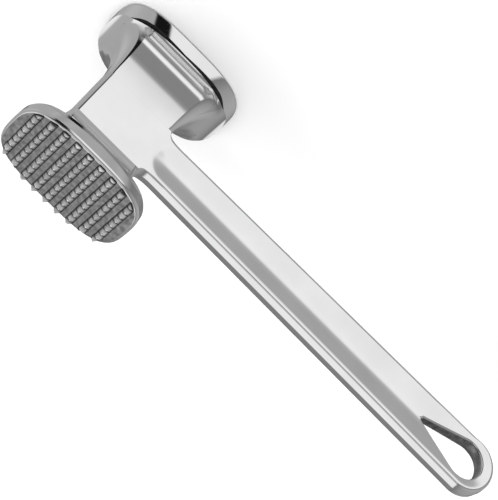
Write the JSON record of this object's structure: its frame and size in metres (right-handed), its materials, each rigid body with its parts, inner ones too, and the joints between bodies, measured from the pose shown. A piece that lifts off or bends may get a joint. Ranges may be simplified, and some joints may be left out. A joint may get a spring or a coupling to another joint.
{
  "type": "two-faced meat mallet",
  "caption": "Polished cast meat mallet standing on its flat striker, with a pyramid-toothed striker on top and a long dished handle ending in a teardrop hanging loop.",
  "frame": {"origin": "centre of the flat striking face, which the mallet stands on", "axes": "+Z along the striking axis from the flat face to the teeth, -X along the handle, -Y is the front"},
  "size_m": [0.242, 0.042, 0.0808],
  "materials": {
    "handle_casting": "mirror polished",
    "toothed_casting": "polished rim, as-cast teeth",
    "flat_casting": "mirror polished",
    "fastener_steel": "plain turned"
  },
  "bodies": {
    "root": {"handle": "handle_casting", "toothed_striker": "toothed_casting", "flat_striker": "flat_casting", "tie_stud": "fastener_steel", "dowel_pin_tip": "fastener_steel", "dowel_pin_grip": "fastener_steel"}
  },
  "joints": []
}
